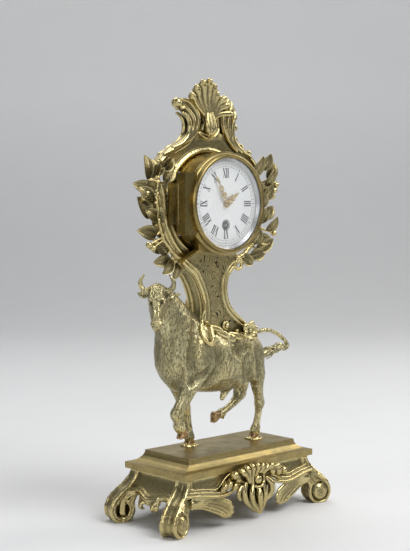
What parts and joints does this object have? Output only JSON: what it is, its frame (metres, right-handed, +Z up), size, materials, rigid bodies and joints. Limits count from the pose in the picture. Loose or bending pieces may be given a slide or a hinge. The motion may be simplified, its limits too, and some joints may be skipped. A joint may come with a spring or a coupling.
{
  "type": "mantel clock",
  "caption": "Small figural mantel clock: a walking bull on a scroll-footed plinth carries a drum clock in a cartouche frame with a shell crest and laurels.",
  "frame": {"origin": "The middle of the footprint, on the surface that the four feet stand on.", "axes": "+Z is up, the dial faces -Y, and +X runs to the right of a person who faces the dial."},
  "size_m": [0.1422, 0.0672, 0.2699],
  "materials": {
    "gilt": "old gilt brass, satin with darker recesses",
    "old_gilt": "worn gilt brass, satin",
    "polished": "smooth brass, lightly tarnished",
    "brass": "polished brass",
    "steel": "brushed",
    "blued": "blued",
    "enamel": "white vitreous enamel on copper, gloss",
    "clear": "clear, polished"
  },
  "bodies": {
    "clock": {"stand": "old_gilt", "stand_screws": "steel", "apron_shell": "gilt", "plinth": "old_gilt", "bull": "gilt", "tail": "gilt", "hoof_bolts": "steel", "pedestal": "gilt", "pedestal_bolt": "steel", "case_drum": "polished", "case_screws": "steel", "cartouche_frame": "gilt", "crest_shell": "gilt", "laurel_left": "gilt", "laurel_right": "gilt", "bezel_hinge_pin": "steel", "back_hinge_pin": "steel", "dial": "enamel", "dial_plate": "brass", "front_plate": "brass", "back_plate": "brass", "pillars": "brass", "plate_screws": "blued", "movement_screws": "blued", "click_spring": "steel", "hairspring": "blued", "balance_cock": "brass", "lever_bridge": "brass"},
    "bezel_door": {"front_bezel": "polished", "sight_ring": "steel", "bezel_glass": "clear"},
    "rear_door": {"back_door": "polished", "door_knob": "polished"},
    "minute_set": {"cannon_pinion": "steel", "minute_hand": "brass", "hand_nut": "brass"},
    "motion_wheel": {"minute_wheel": "brass"},
    "hour_set": {"hour_wheel": "brass", "hour_hand": "brass"},
    "fourth_arbor": {"fourth_wheel": "brass"},
    "escape_arbor": {"escape_wheel": "brass"},
    "third_arbor": {"third_wheel": "brass"},
    "centre_arbor": {"centre_wheel": "brass"},
    "going_barrel": {"barrel": "brass", "barrel_cap": "brass", "mainspring": "steel"},
    "winder": {"winding_arbor": "steel", "ratchet_wheel": "steel"},
    "click_lever": {"click": "steel"},
    "lever_arbor": {"pallet_lever": "steel"},
    "balance_staff": {"balance": "brass"}
  },
  "joints": [
    {"name": "bezel_hinge", "type": "hinge", "parent": "clock", "child": "bezel_door", "pos_m": [-0.0462, -0.0123, 0.1932], "axis": [0, 0, -1], "range_deg": [0, 100]},
    {"name": "rear_door_hinge", "type": "hinge", "parent": "clock", "child": "rear_door", "pos_m": [0.0202, 0.0061, 0.1932], "axis": [0, 0, -1], "range_deg": [0, 100]},
    {"name": "minute_turn", "type": "hinge", "parent": "clock", "child": "minute_set", "pos_m": [-0.013, -0.015, 0.1932], "axis": [0, 1, 0], "continuous": true},
    {"name": "motion_turn", "type": "hinge", "parent": "clock", "child": "motion_wheel", "pos_m": [-0.01923, -0.013, 0.1968], "axis": [0, 1, 0], "continuous": true},
    {"name": "hour_turn", "type": "hinge", "parent": "clock", "child": "hour_set", "pos_m": [-0.013, -0.015, 0.1932], "axis": [0, 1, 0], "continuous": true},
    {"name": "fourth_turn", "type": "hinge", "parent": "clock", "child": "fourth_arbor", "pos_m": [-0.01264, -0.006, 0.20393], "axis": [0, 1, 0], "continuous": true},
    {"name": "escape_turn", "type": "hinge", "parent": "clock", "child": "escape_arbor", "pos_m": [-0.02039, -0.006, 0.20675], "axis": [0, 1, 0], "continuous": true},
    {"name": "third_turn", "type": "hinge", "parent": "clock", "child": "third_arbor", "pos_m": [-0.00528, -0.006, 0.19968], "axis": [0, 1, 0], "continuous": true},
    {"name": "centre_turn", "type": "hinge", "parent": "clock", "child": "centre_arbor", "pos_m": [-0.013, -0.006, 0.1932], "axis": [0, 1, 0], "continuous": true},
    {"name": "barrel_turn", "type": "hinge", "parent": "clock", "child": "going_barrel", "pos_m": [-0.013, -0.006, 0.1802], "axis": [0, 1, 0], "continuous": true},
    {"name": "winding_turn", "type": "hinge", "parent": "clock", "child": "winder", "pos_m": [-0.013, -0.006, 0.1802], "axis": [0, 1, 0], "range_deg": [0, 1440]},
    {"name": "click_lift", "type": "hinge", "parent": "clock", "child": "click_lever", "pos_m": [-0.021, -0.013, 0.178], "axis": [0, -1, 0], "range_deg": [0, 12], "stiffness_Nm_per_rad": 0.00002},
    {"name": "lever_rock", "type": "hinge", "parent": "clock", "child": "lever_arbor", "pos_m": [-0.02528, 0, 0.20497], "axis": [0, 1, 0], "range_deg": [-5, 5]},
    {"name": "balance_swing", "type": "hinge", "parent": "clock", "child": "balance_staff", "pos_m": [-0.03023, 0.002, 0.19947], "axis": [0, 1, 0], "range_deg": [-200, 200], "stiffness_Nm_per_rad": 0.0000009}
  ],
  "couplings": [
    {"joint": "motion_turn", "follows": "minute_turn", "ratio": -0.33333},
    {"joint": "hour_turn", "follows": "minute_turn", "ratio": 0.083333},
    {"joint": "escape_turn", "follows": "fourth_turn", "ratio": -10},
    {"joint": "third_turn", "follows": "fourth_turn", "ratio": -0.13333},
    {"joint": "centre_turn", "follows": "fourth_turn", "ratio": 0.016667},
    {"joint": "barrel_turn", "follows": "fourth_turn", "ratio": -0.0020833}
  ]
}
